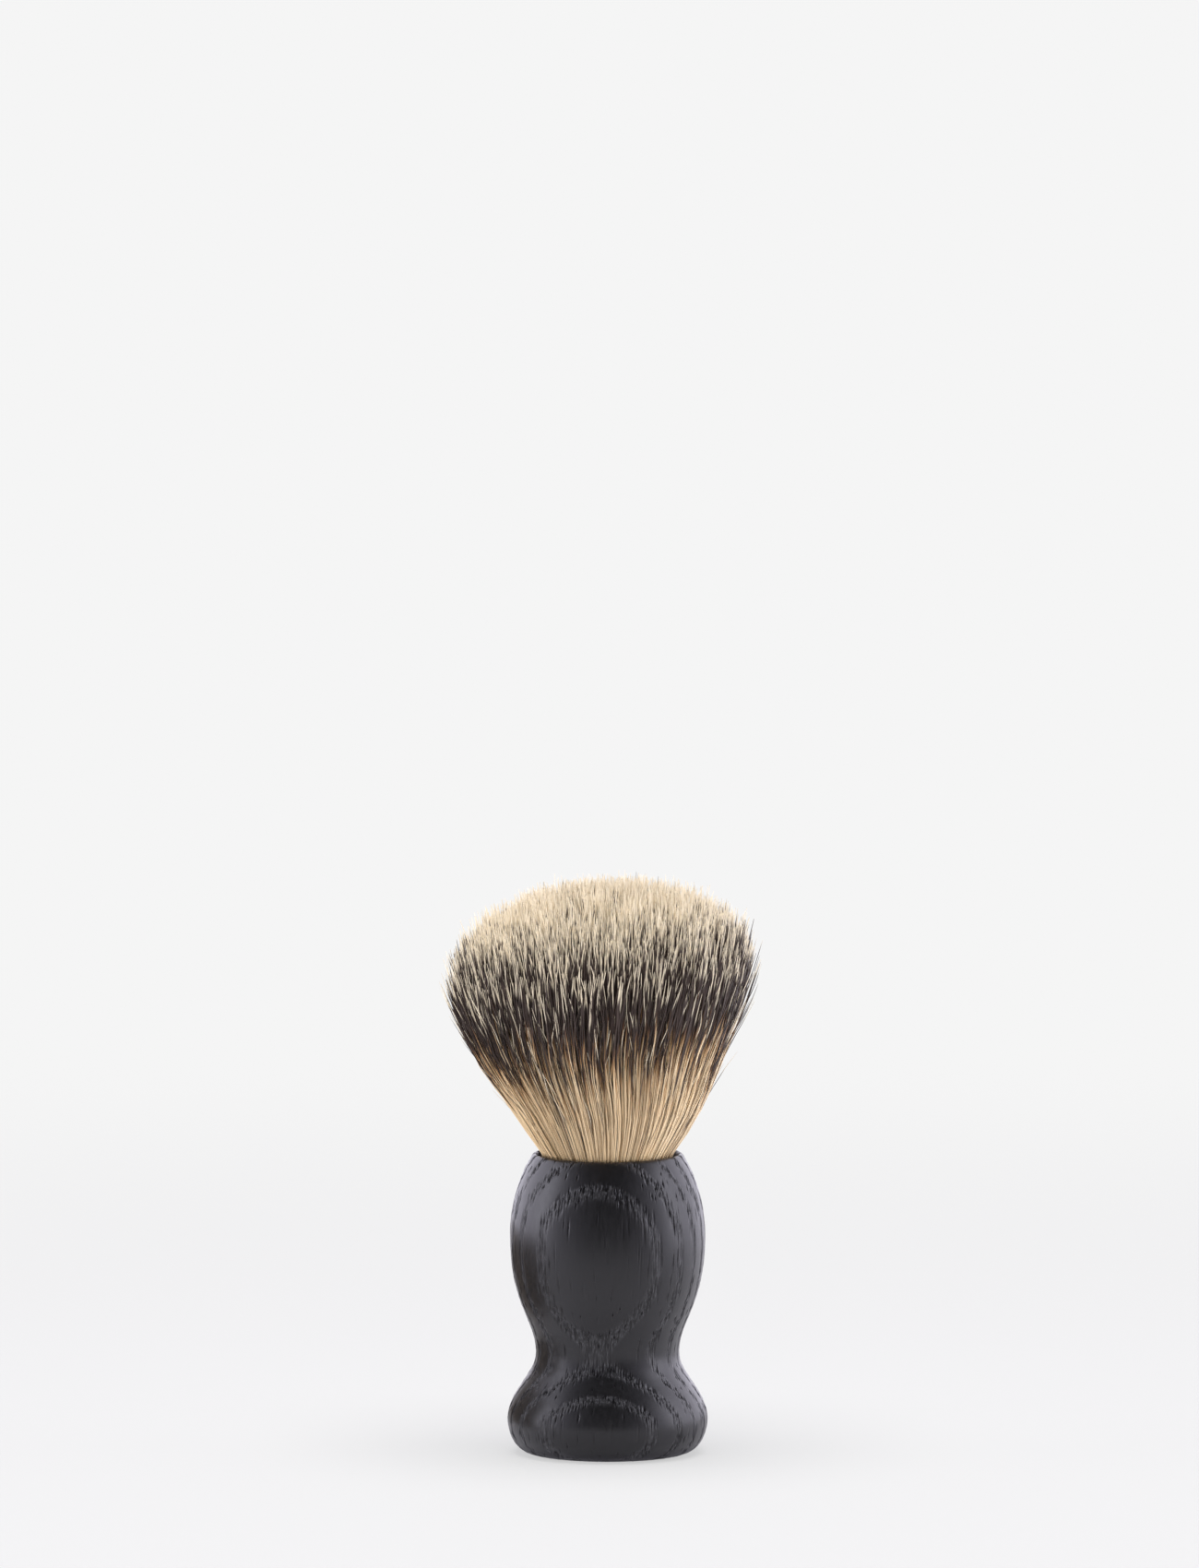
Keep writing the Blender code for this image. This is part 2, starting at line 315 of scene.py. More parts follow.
def pore_relief(rows, angles):
    """Depth of the open pores, and height of the lips beside them, on the handle's outer surface."""
    along = distances(rows)
    cut = np.zeros((len(rows), len(angles)))
    lip = np.zeros(cut.shape)
    pitch = angles[1] - angles[0]
    for angle, place, radius, lean, *draw in scatter_pores(rows, along):
        half_width, depth, half_length = pore_size(lean, draw)
        low = np.searchsorted(along, place - half_length)
        high = np.searchsorted(along, place + half_length)
        half_angle = half_width / radius
        left = math.ceil((angle - LIP_REACH * half_angle) / pitch)
        right = math.floor((angle + LIP_REACH * half_angle) / pitch)
        columns = np.arange(left, right + 1)
        across = np.abs(columns * pitch - angle) / half_angle
        lengthwise = (along[low:high] - place) / half_length
        ends = np.sqrt(np.clip(1.0 - lengthwise**2, 0.0, 1.0))[:, None]
        window = np.ix_(np.arange(low, high), columns % len(angles))
        cut[window] = np.maximum(cut[window], ends * depth * np.clip(1.0 - across**4, 0.0, 1.0))
        lip[window] = np.maximum(lip[window], ends * PORE_LIP * np.clip(LIP_REACH - across, 0.0, 1.0))
    return cut, np.where(cut > 0.0, 0.0, lip)


def handle_surface(rows, first, last):
    """Points of the handle as (rows, columns, 3), with the depth of its pores and its earlywood."""
    angles = np.arange(HANDLE_COLUMNS) * math.tau / HANDLE_COLUMNS
    tangent = np.gradient(rows, axis=0)
    normal = np.stack([tangent[:, 1], -tangent[:, 0]], axis=1)
    normal /= np.linalg.norm(normal, axis=1, keepdims=True)
    radius = np.repeat(rows[:, :1], HANDLE_COLUMNS, 1)
    height = np.repeat(rows[:, 1:], HANDLE_COLUMNS, 1)
    pores = np.zeros(radius.shape)
    lips = np.zeros(radius.shape)
    pores[first:last], lips[first:last] = pore_relief(rows[first:last], angles)
    early = earlywood(ring_place(*around(radius, angles), height))
    sink = pores - lips
    sink[first:last] += EARLYWOOD_SINK * early[first:last]
    radius = radius - sink * normal[:, :1]
    height = np.maximum(height - sink * normal[:, 1:], rows[0, 1])
    return np.stack([*around(radius, angles), height], axis=2), pores, early


def turned_mesh(name, surface):
    """Closed mesh of a grid of points, whose first and last rows lie on the axis."""
    rings = surface[1:-1]
    inner = rings.reshape(-1, 3)
    foot, tip = len(inner), len(inner) + 1
    ends = [[0.0, 0.0, surface[0, 0, 2]], [0.0, 0.0, surface[-1, 0, 2]]]
    here = np.arange(HANDLE_COLUMNS)
    after = (here + 1) % HANDLE_COLUMNS
    low = np.arange(len(rings) - 1)[:, None] * HANDLE_COLUMNS
    high = low + HANDLE_COLUMNS
    quads = np.stack([low + here, low + after, high + after, high + here], 2)
    last_ring = (len(rings) - 1) * HANDLE_COLUMNS
    foot_fan = np.stack([np.full(HANDLE_COLUMNS, foot), after, here], 1)
    tip_fan = np.stack([last_ring + here, last_ring + after, np.full(HANDLE_COLUMNS, tip)], 1)
    return new_mesh(name, np.vstack([inner, ends]), [quads.reshape(-1, 4), foot_fan, tip_fan])


def make_handle():
    """Turned ash handle: a fine closed mesh with pores cut into its outer surface."""
    rows, first, last = handle_rows()
    surface, pores, early = handle_surface(rows, first, last)
    mesh = turned_mesh("handle_wood", surface)
    add_handle_uv(mesh, rows)
    for name, values in (("pore", pores / PORE_DEPTH[1]), ("early", early)):
        add_point_value(mesh, name, np.append(values[1:-1].ravel(), [0.0, 0.0]))
    mesh.set_sharp_from_angle(angle=HANDLE_CREASE)
    piece = new_piece("handle_wood", mesh, ash_material())
    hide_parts("handle")
    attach(piece, "grip")


def add_handle_uv(mesh, rows):
    """Unrolled UVs: once round the handle is u, and along its outline is v."""
    along = distances(rows)
    share = along / along[-1]
    spans = len(rows) - 3
    here = np.arange(HANDLE_COLUMNS) / HANDLE_COLUMNS
    after = here + 1.0 / HANDLE_COLUMNS
    middle = (here + after) / 2
    low = np.repeat(share[1:-2][:, None], HANDLE_COLUMNS, 1)
    high = np.repeat(share[2:-1][:, None], HANDLE_COLUMNS, 1)
    left = np.broadcast_to(here, (spans, HANDLE_COLUMNS))
    right = np.broadcast_to(after, (spans, HANDLE_COLUMNS))
    quads = np.stack([left, low, right, low, right, high, left, high], 2)
    first = np.full(HANDLE_COLUMNS, share[1])
    final = np.full(HANDLE_COLUMNS, share[-2])
    zeros = np.zeros(HANDLE_COLUMNS)
    ones = np.ones(HANDLE_COLUMNS)
    foot = np.stack([middle, zeros, after, first, here, first], 1)
    tip = np.stack([here, final, after, final, middle, ones], 1)
    add_uv(mesh, np.concatenate([quads.ravel(), foot.ravel(), tip.ravel()]))


# Filaments

def bundle_outline():
    """Outside of the bundle above the rim: heights over the rim and radii, mouth to apex."""
    segments = ("bristle_root", "bristle_backbone", "bristle_crown")
    points = np.vstack([node_points(name) for name in segments])
    pairs = np.stack([points[:, 2] - RIM_HEIGHT, np.hypot(points[:, 0], points[:, 1])], 1)
    pairs = np.unique(np.round(pairs, 6), axis=0)
    hull = []
    for height, radius in pairs[pairs[:, 0] >= -1e-6]:
        while len(hull) > 1:
            rise = (hull[-1][0] - hull[-2][0], hull[-1][1] - hull[-2][1])
            onward = (height - hull[-1][0], radius - hull[-1][1])
            if rise[0] * onward[1] - rise[1] * onward[0] < 0:
                break
            hull.pop()
        hull.append((height, radius))
    return np.array(hull)


def headings(turns):
    """Unit vectors (n, 2) that point to each share of a full turn."""
    return np.stack([np.cos(math.tau * turns), np.sin(math.tau * turns)], 1)


class Bundle:
    """Where the filaments run, from the resin plug to the dome of tips, and how each one looks."""

    SEED = 5
    # What each filament draws at random.
    DRAWS = (
        "place", "turn", "short", "fall", "wander_turn", "wander", "stray",
        "outer", "bend_turn", "bend", "bend_length", "bend_start", "kind", "column",
    )
    TURN_JITTER = 0.6
    # The bundle stands a little to the left of the handle, and its dome is a little higher on the right.
    LEFT_SHIFT = 1.5 * MM
    SHIFT_HEIGHTS = (4 * MM, 20 * MM)
    DOME_TILT = 0.08
    SOCKET_SLOPE = 0.30
    # Tufts: the length of their waves at the mouth, and how far they pull the tips or raise them.
    WAVES = 28
    FINE_TUFTS = (0.90 * MM, 0.46 * MM)
    COARSE_TUFTS = (3.0 * MM, 0.60 * MM)
    BAND_TUFTS = (1.3 * MM, 1.1 * MM)
    TUFT_STEPS = (1.1 * MM, 0.5 * MM)
    GATHER_POWER = 1.6
    FULL_RISE = 40 * MM
    # Each filament wanders off sideways towards its tip, and swings gently to and fro.
    WANDER = 3.4 * MM
    LEAST_WANDER = 0.15
    WANDER_POWER = 3.0
    BEND = 0.42 * MM
    BEND_LENGTH = (9 * MM, 22 * MM)
    # Chance of a stray hair, and how far it stands off: for any filament, and for a short outer one.
    STRAYS = (0.03, 0.55)
    STRAY_REACH = (2.4 * MM, 2.8 * MM)
    # Some filaments end short, inside and outside the share of the radius where the outside starts.
    OUTSIDE_SHARE = 0.86
    SHORT_SHARE = (0.18, 0.48)
    SHORT_MEAN = (4.0 * MM, 7.0 * MM)
    LONGEST_SHORTFALL = 22 * MM
    SHORT_THICKNESS = 0.66
    UNEVEN_TIPS = 0.9 * MM
    LARGEST_DRAW = 0.999
    DOME_STEPS = 200
    # Ivory tips get shorter towards the outside, but for some of the short filaments.
    DARK_SHORT = 0.55
    MIDDLE_SHARES = (0.50, 0.84)
    MIDDLE_CHANCES = (0.0, 0.90)
    OUTER_SHARES = (0.73, 0.96)

    def __init__(self):
        rng = np.random.default_rng(self.SEED)
        outline = bundle_outline()
        shoulder = int(np.argmax(outline[:, 1]))
        self.flow = np.polyfit(outline[: shoulder + 1, 0], outline[: shoulder + 1, 1], 2)
        number = np.arange(FILAMENTS)
        golden = math.pi * (3 - math.sqrt(5))
        draw = dict(zip(self.DRAWS, rng.random((FILAMENTS, len(self.DRAWS))).T))
        self.share = MOUTH_SHARE * np.sqrt((number + draw["place"]) / FILAMENTS)
        self.angle = number * golden + self.TURN_JITTER * (draw["turn"] - 0.5)
        self.tip_rise, short = self.tip_rises(outline, shoulder, draw)
        self.column = self.colour_columns(draw, short)
        self.thickness = np.where(short, self.SHORT_THICKNESS, 1.0)
        self.band_shift = self.height_waves(self.SEED + 2, *self.BAND_TUFTS)
        self.tufts = self.tuft_pull(rng)
        outward = np.stack(around(1.0, self.angle), 1)
        self.wander = self.wanderings(draw, outward)
        self.stray = self.strayings(draw, outward, short)
        self.bend = self.BEND * headings(draw["bend_turn"]) * draw["bend"][:, None]
        bend_length = self.BEND_LENGTH[0] + draw["bend_length"] * np.ptp(self.BEND_LENGTH)
        self.bend_turn = math.tau / bend_length[:, None]
        self.bend_start = math.tau * draw["bend_start"][:, None]

    def colour_columns(self, draw, short):
        """Column of the colour map for each filament, from the group of its ivory tip's length."""
        pale_short = short & (draw["kind"] > self.DARK_SHORT)
        outer = (draw["outer"] < smoothstep(*self.OUTER_SHARES, self.share)) & ~pale_short
        middle_chance = np.interp(self.share, self.MIDDLE_SHARES, self.MIDDLE_CHANCES)
        middle = (draw["kind"] < middle_chance) & ~short & ~outer
        groups = [outer, middle]
        first = np.select(groups, [OUTER_COLUMN, MIDDLE_COLUMN], 0)
        end = np.select(groups, [COLOUR_COLUMNS, OUTER_COLUMN], MIDDLE_COLUMN)
        return first + (draw["column"] * (end - first)).astype(int)

    def wanderings(self, draw, outward):
        """How far each tip wanders sideways, which takes the outermost ones no further out."""
        share = self.LEAST_WANDER + draw["wander"][:, None] ** 2
        wander = self.WANDER * headings(draw["wander_turn"]) * share
        beyond = np.clip((wander * outward).sum(1), 0.0, None) * self.share**4
        return wander - outward * beyond[:, None]

    def strayings(self, draw, outward, short):
        """How far each tip stands off the bundle: nothing for most filaments."""
        loose = short & (self.share > self.OUTSIDE_SHARE)
        stray = draw["stray"] < np.where(loose, self.STRAYS[1], self.STRAYS[0])
        reach = np.where(loose, self.STRAY_REACH[1], self.STRAY_REACH[0]) * draw["column"]
        return outward * (stray * reach)[:, None]

    def width(self, rise):
        """Radius of the outermost filaments at a height over the rim."""
        mouth = np.polyval(self.flow, 0.0)
        return np.where(rise > 0, np.polyval(self.flow, rise), mouth + self.SOCKET_SLOPE * rise)

    def tip_rises(self, outline, shoulder, draw):
        """Height over the rim at which each filament ends, and which of them end short."""
        rises = np.linspace(outline[shoulder, 0], outline[-1, 0], self.DOME_STEPS)
        radii = np.interp(rises, outline[:, 0], outline[:, 1])
        shares = radii / self.width(rises)
        full = np.interp(self.share, shares[::-1], rises[::-1])
        tip_x = self.share * self.width(full) * np.sin(self.angle)
        full = full + self.DOME_TILT * tip_x
        outside = self.share > self.OUTSIDE_SHARE
        short = draw["short"] < np.where(outside, self.SHORT_SHARE[1], self.SHORT_SHARE[0])
        short_mean = np.where(outside, self.SHORT_MEAN[1], self.SHORT_MEAN[0])
        fall = -np.log(1 - self.LARGEST_DRAW * draw["fall"]) * np.where(short, short_mean, self.UNEVEN_TIPS)
        steps = self.height_waves(self.SEED + 1, *self.TUFT_STEPS)
        return full + steps - np.minimum(fall, self.LONGEST_SHORTFALL), short

    def mouth_places(self):
        """Where each filament passes the mouth of the handle, as x and y."""
        return around(self.share * self.width(0.0), self.angle)

    def waves(self, rng, length):
        """Random plane waves over the mouth: their headings and their phases at every filament."""
        x, y = self.mouth_places()
        for _ in range(self.WAVES):
            heading = rng.random() * math.tau
            across = np.array([math.cos(heading), math.sin(heading)])
            turns = math.tau / (length * (0.75 + 0.5 * rng.random()))
            yield across, turns * (across[0] * x + across[1] * y) + rng.random() * math.tau

    def height_waves(self, seed, length, reach):
        """A height for each filament that changes smoothly from tuft to tuft."""
        rng = np.random.default_rng(seed)
        total = sum(np.cos(phase) for _, phase in self.waves(rng, length))
        return reach * math.sqrt(2 / self.WAVES) * total

    def tuft_pull(self, rng):
        """Sideways pull at each tip that gathers neighbouring filaments into tufts."""
        pull = np.zeros((FILAMENTS, 2))
        for length, reach in (self.FINE_TUFTS, self.COARSE_TUFTS):
            for across, phase in self.waves(rng, length):
                pull += reach * math.sqrt(2 / self.WAVES) * np.cos(phase)[:, None] * across
        return pull

    def places(self, rise):
        """Points (filaments, stations, 3) at heights over the rim given for each filament."""
        radius = self.share[:, None] * self.width(rise)
        along = np.clip(rise / self.tip_rise[:, None], 0.0, 1.0)
        gather = np.clip(rise / self.FULL_RISE, 0.0, None) ** self.GATHER_POWER
        swing = np.sin(self.bend_turn * rise + self.bend_start) * np.sqrt(along)
        x, y = around(radius, self.angle[:, None])
        x = x - self.LEFT_SHIFT * smoothstep(*self.SHIFT_HEIGHTS, rise)
        wander = along**self.WANDER_POWER
        for axis, place in enumerate((x, y)):
            place += self.tufts[:, axis, None] * gather + self.wander[:, axis, None] * wander
            place += self.stray[:, axis, None] * along**2 + self.bend[:, axis, None] * swing
        return np.stack([x, y, rise + RIM_HEIGHT], axis=2)


def tube_points(centres, radius):
    """Corners (filaments, stations, sides, 3) of the tubes round each filament's stations."""
    tangent = np.gradient(centres, axis=1)
    tangent /= np.linalg.norm(tangent, axis=2, keepdims=True)
    side = np.cross(tangent, np.array([0.0, 0.0, 1.0]))
    length = np.linalg.norm(side, axis=2, keepdims=True)
    side = np.where(length > 1e-4, side / np.maximum(length, 1e-9), np.array([1.0, 0.0, 0.0]))
    other = np.cross(tangent, side)
    turns = math.tau * np.arange(FILAMENT_SIDES) / FILAMENT_SIDES
    ring = side[:, :, None] * np.cos(turns)[:, None] + other[:, :, None] * np.sin(turns)[:, None]
    return centres[:, :, None] + radius[:, :, None, None] * ring


def tube_faces(count, stations):
    """Sides of the tubes as (filaments, spans, sides, 4) corners, and their root and tip caps."""
    around_tube = np.arange(FILAMENT_SIDES)
    first = (np.arange(count) * stations * FILAMENT_SIDES)[:, None, None]
    ring = first + (np.arange(stations - 1) * FILAMENT_SIDES)[None, :, None]
    low = ring + around_tube
    low_next = ring + (around_tube + 1) % FILAMENT_SIDES
    sides = np.stack([low, low_next, low_next + FILAMENT_SIDES, low + FILAMENT_SIDES], 3)
    root = first[:, 0] + around_tube[::-1]
    tip = first[:, 0] + (stations - 1) * FILAMENT_SIDES + around_tube
    return sides, root, tip


def tube_radius(centres, to_tip, thickness):
    """Radius of each filament at its stations."""
    taper = np.clip(1.0 - to_tip / TAPER_LENGTH, 0.0, 1.0) ** 2
    above_rim = np.clip((centres[:, :, 2] - RIM_HEIGHT) / ROOT_TAPER, 0.0, 1.0)
    swell = ROOT_SHARE + (1.0 - ROOT_SHARE) * above_rim
    radius = FILAMENT_RADIUS * (1.0 - (1.0 - TIP_SHARE) * taper) * swell
    return radius * thickness[:, None]


def tube_uvs(column, v, shape):
    """UVs of the sides and caps of tubes, each of which lies in its own filament's column."""
    middle = (column + 0.5) / COLOUR_COLUMNS
    reach = COLUMN_REACH / COLOUR_COLUMNS
    left = np.broadcast_to((middle - reach)[:, None, None], shape)
    right = np.broadcast_to((middle + reach)[:, None, None], shape)
    v_low = np.broadcast_to(v[:, :-1, None], shape)
    v_high = np.broadcast_to(v[:, 1:, None], shape)
    sides = np.stack([left, v_low, right, v_low, right, v_high, left, v_high], 3)
    caps = [cap_uv(middle, reach, v[:, 0]), cap_uv(middle, reach, v[:, -1])]
    return np.concatenate([sides.ravel()] + caps)


def tubes(name, centres, to_tip, bundle, chosen, material):
    """Closed tapered tubes for the chosen filaments, from their stations and distances to the tip."""
    centres, to_tip = centres[chosen], to_tip[chosen]
    count, stations = to_tip.shape
    points = tube_points(centres, tube_radius(centres, to_tip, bundle.thickness[chosen]))
    sides, root, tip = tube_faces(count, stations)
    mesh = new_mesh(name, points.reshape(-1, 3), [sides.reshape(-1, 4), root, tip])
    sharpen_caps(mesh, stations)
    v = np.clip(to_tip + bundle.band_shift[chosen, None], 0.0, None) / LONGEST
    add_uv(mesh, tube_uvs(bundle.column[chosen], v, sides.shape[:3]))
    return new_piece(name, mesh, material)


def sharpen_caps(mesh, stations):
    """Mark the edges round every end cap as sharp, so that the caps don't bend the tubes' shading."""
    corners = np.empty(len(mesh.edges) * 2, np.int32)
    mesh.edges.foreach_get("vertices", corners)
    rings = corners.reshape(-1, 2) // FILAMENT_SIDES
    place = rings[:, 0] % stations
    sharp = (rings[:, 0] == rings[:, 1]) & ((place == 0) | (place == stations - 1))
    attribute = mesh.attributes.new("sharp_edge", "BOOLEAN", "EDGE")
    attribute.data.foreach_set("value", sharp)


def cap_uv(middle, reach, v):
    """UVs of the end caps, which lie in their own filament's column."""
    u = middle[:, None] + reach * np.linspace(-1, 1, FILAMENT_SIDES)
    return np.stack([u, np.repeat(v[:, None], FILAMENT_SIDES, 1)], 2).ravel()


def cut_lengths(bundle):
    """Lower and upper lengths, each as stations and distances to the tip, and who has an upper one."""
    split = SPLIT_HEIGHT - RIM_HEIGHT
    through = bundle.tip_rise > split + SHORTEST_TOP
    lower_end = np.where(through, split, bundle.tip_rise)
    lower = ROOT_HEIGHT + (lower_end - ROOT_HEIGHT)[:, None] * np.linspace(0, 1, LOWER_STATIONS)
    upper = split + (bundle.tip_rise - split)[:, None] * np.linspace(0, 1, UPPER_STATIONS)
    lower_places, upper_places = bundle.places(lower), bundle.places(upper)
    upper_left = lengths_to_end(upper_places)
    beyond = np.where(through, upper_left[:, 0], 0.0)
    lower_left = lengths_to_end(lower_places) + beyond[:, None]
    return (lower_places, lower_left), (upper_places, upper_left), through


def blend_up(piece):
    """Bake the piece's transform into its mesh."""
    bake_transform(piece)


def make_filaments():
    """All filaments, in lower and upper lengths that meet at the split height."""
    bundle = Bundle()
    material = filament_material()
    lower, upper, through = cut_lengths(bundle)
    layer = np.arange(FILAMENTS) * len(LAYERS) // FILAMENTS
    for number, part in enumerate(LAYERS):
        chosen = layer == number
        piece = tubes(f"filaments_{part}_lower", *lower, bundle, chosen, material)
        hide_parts("bristle_root", "bristle_backbone")
        blend_up(piece)
        piece = tubes(f"filaments_{part}_upper", *upper, bundle, chosen & through, material)
        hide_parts("bristle_crown")
        blend_up(piece)


def lengths_to_end(places):
    """Distance along each filament from every station to its last one."""
    steps = np.linalg.norm(np.diff(places, axis=1), axis=2)
    after = np.cumsum(steps[:, ::-1], axis=1)[:, ::-1]
    return np.concatenate([after, np.zeros((len(places), 1))], axis=1)


# Materials

class Nodes:
    """Short calls for building the node tree of a material or a world."""

    def __init__(self, owner):
        self.owner = owner
        owner.use_nodes = True
        self.tree = owner.node_tree

    def put(self, kind, values=None, **settings):
        """New node, with settings by attribute and its input sockets set or linked by name or number."""
        node = self.tree.nodes.new(kind)
        for name, value in settings.items():
            setattr(node, name, value)
        for socket, value in (values or {}).items():
            self.feed(node.inputs[socket], value)
        return node

    def feed(self, socket, value):
        """Link a socket to another, or set its value."""
        if isinstance(value, bpy.types.NodeSocket):
            self.tree.links.new(value, socket)
        else:
            socket.default_value = value

    def math(self, operation, *values):
        """Result of one maths node."""
        node = self.put("ShaderNodeMath", dict(enumerate(values)), operation=operation)
        return node.outputs[0]

    def attribute(self, name):
        """A value stored on the mesh's points."""
        return self.put("ShaderNodeAttribute", attribute_name=name).outputs["Fac"]

    def noise(self, coordinates, stretch, detail=2.0):
        """Noise whose grain is set along each axis by its number of features in a metre."""
        place = self.put("ShaderNodeMapping", {"Vector": coordinates, "Scale": stretch})
        texture = self.put("ShaderNodeTexNoise", {"Vector": place.outputs[0], "Scale": 1.0, "Detail": detail})
        return texture.outputs["Fac"]

    def mix(self, share, first, second, blend="MIX"):
        """Mix of two colours."""
        node = self.put("ShaderNodeMix", {"Factor": share}, data_type="RGBA", blend_type=blend)
        self.feed(node.inputs[6], first)
        self.feed(node.inputs[7], second)
        return node.outputs[2]

    def steer(self, value, low, high, start=0.0, end=1.0, smooth=False):
        """Value moved from the range low to high into the range start to end."""
        kind = "SMOOTHSTEP" if smooth else "LINEAR"
        sockets = {"Value": value, "From Min": low, "From Max": high, "To Min": start, "To Max": end}
        return self.put("ShaderNodeMapRange", sockets, interpolation_type=kind).outputs[0]

    def ramp(self, value, stops):
        """Colour from a list of (place, colour) stops."""
        node = self.put("ShaderNodeValToRGB", {"Fac": value})
        band = node.color_ramp
        while len(band.elements) < len(stops):
            band.elements.new(1.0)
        for element, (place, colour) in zip(band.elements, stops):
            element.position = place
            element.color = (*colour, 1.0)
        return node.outputs["Color"]

    def object_place(self):
        """Place on the object, in metres."""
        return self.put("ShaderNodeTexCoord").outputs["Object"]

    def bump(self, height, strength, distance, under=None):
        """Bump from a height, over an earlier bump if one is given."""
        sockets = {"Height": height, "Strength": strength, "Distance": distance}
        if under is not None:
            sockets["Normal"] = under
        return self.put("ShaderNodeBump", sockets).outputs[0]

    def finish(self, **sockets):
        """Feed the shader's sockets and return the material."""
        shader = self.tree.nodes["Principled BSDF"]
        for name, value in sockets.items():
            self.feed(shader.inputs[name.replace("_", " ")], value)
        return self.owner


def material_nodes(name):
    """Node builder for a new material."""
    return Nodes(bpy.data.materials.new(name))


# Stained ash: colours of its parts and of a painted highlight on its crests, and grains as features in a
# metre across, across and along.
LATE_STAIN = (0.0058, 0.0058, 0.0062, 1)
EARLY_STAIN = (0.0170, 0.0170, 0.0182, 1)
BLOTCH_STAIN = (0.0085, 0.0080, 0.0090, 1)
BLOTCH_SHARE = 0.4
# Painted highlight: a paler grey on the crests of the earlywood ripple, where light would catch them.
PAINTED_CREST_HIGHLIGHT = (0.045, 0.045, 0.050, 1)
PORE_STAIN = (0.0016, 0.0015, 0.0015, 1)
WOOD_FIBRE = (2600, 2600, 170)
FINE_WOOD_FIBRE = (9000, 9000, 600)
TURNING_MARKS = (60, 60, 5200)
STAIN_BLOTCHES = (120, 120, 60)
EARLY_RIPPLE = (5000, 5000, 900)
FINISH_TINT = (0.95, 0.94, 1.0, 1)


def ash_colour(nodes, fibre, ripple):
    """Stain on the wood: paler in the earlywood and darkest in the pores, with a painted highlight on the
    crests of the earlywood ripple.
    """
    early = nodes.attribute("early")
    blotch = nodes.noise(nodes.object_place(), STAIN_BLOTCHES, detail=2.0)
    wood = nodes.mix(early, LATE_STAIN, EARLY_STAIN)
    streak = nodes.ramp(fibre, [(0.30, (0.72, 0.72, 0.72)), (0.70, (1.30, 1.29, 1.32))])
    wood = nodes.mix(1.0, wood, streak, "MULTIPLY")
    wood = nodes.mix(nodes.math("MULTIPLY", blotch, BLOTCH_SHARE), wood, BLOTCH_STAIN)
    # Painted highlight on the crests of the earlywood ripple.
    crest_highlight = nodes.math("MULTIPLY", nodes.steer(ripple, 0.48, 0.66), early)
    wood = nodes.mix(crest_highlight, wood, PAINTED_CREST_HIGHLIGHT)
    return nodes.mix(nodes.steer(nodes.attribute("pore"), 0.05, 0.6), wood, PORE_STAIN)


def ash_roughness(nodes, fibre):
    """Satin finish, rougher in the earlywood and glossier where it fills the pores."""
    roughness = nodes.steer(fibre, 0.3, 0.7, 0.30, 0.40)
    roughness = nodes.math("ADD", roughness, nodes.math("MULTIPLY", nodes.attribute("early"), 0.06))
    return nodes.math("SUBTRACT", roughness, nodes.math("MULTIPLY", nodes.attribute("pore"), 0.10))


def ash_material():
    """Black-stained ash under a thin satin finish."""
    nodes = material_nodes("black_stained_ash")
    where = nodes.object_place()
    fibre = nodes.noise(where, WOOD_FIBRE, detail=3.0)
    ripple = nodes.noise(where, EARLY_RIPPLE, detail=1.0)
    early_ripple = nodes.math("MULTIPLY", ripple, nodes.attribute("early"))
    normal = nodes.bump(nodes.noise(where, TURNING_MARKS, detail=1.0), 0.20, 0.025 * MM)
    normal = nodes.bump(nodes.noise(where, FINE_WOOD_FIBRE, detail=2.0), 0.25, 0.025 * MM, normal)
    normal = nodes.bump(early_ripple, 0.6, 0.12 * MM, normal)
    return nodes.finish(
        Base_Color=ash_colour(nodes, fibre, ripple),
        Roughness=ash_roughness(nodes, fibre),
        Normal=normal,
        IOR=1.58,
        Specular_Tint=FINISH_TINT,
    )


# Filament: lengths from its tip in millimetres, as the least and most that the filaments have.
INNER_IVORY = (2.4, 6.0)
MIDDLE_IVORY = (0.9, 2.6)
OUTER_IVORY = (-0.8, 2.5)
IVORY_FADE = (0.8, 1.2)
BAND_END = (7.6, 17.8)
BAND_FADE = 6.5
IVORY_COLOURS = ((0.86, 0.75, 0.57, 1), (0.94, 0.84, 0.66, 1))
# Colours from the dark band to the root, through its amber edge.
SHAFT_COLOURS = [
    (0.00, (0.062, 0.044, 0.039)),
    (0.28, (0.200, 0.105, 0.056)),
    (0.55, (0.600, 0.375, 0.190)),
    (1.00, (0.950, 0.760, 0.510)),
]
# How light each filament's shaft is beside the others.
SHAFT_TONES = [
    (0.00, (0.30, 0.25, 0.20)),
    (0.32, (0.88, 0.87, 0.85)),
    (1.00, (1.10, 1.10, 1.10)),
]


def ivory_length(nodes, column, chance):
    """Length of a filament's ivory tip, from its column's group and a chance."""
    middle = nodes.math("GREATER_THAN", column, MIDDLE_COLUMN - 0.5)
    outer = nodes.math("GREATER_THAN", column, OUTER_COLUMN - 0.5)
    inner_end = nodes.steer(chance, 0.0, 1.0, *INNER_IVORY)
    middle_end = nodes.steer(chance, 0.0, 1.0, *MIDDLE_IVORY)
    outer_end = nodes.steer(chance, 0.0, 1.0, *OUTER_IVORY)
    return nodes.steer(outer, 0.0, 1.0, nodes.steer(middle, 0.0, 1.0, inner_end, middle_end), outer_end)


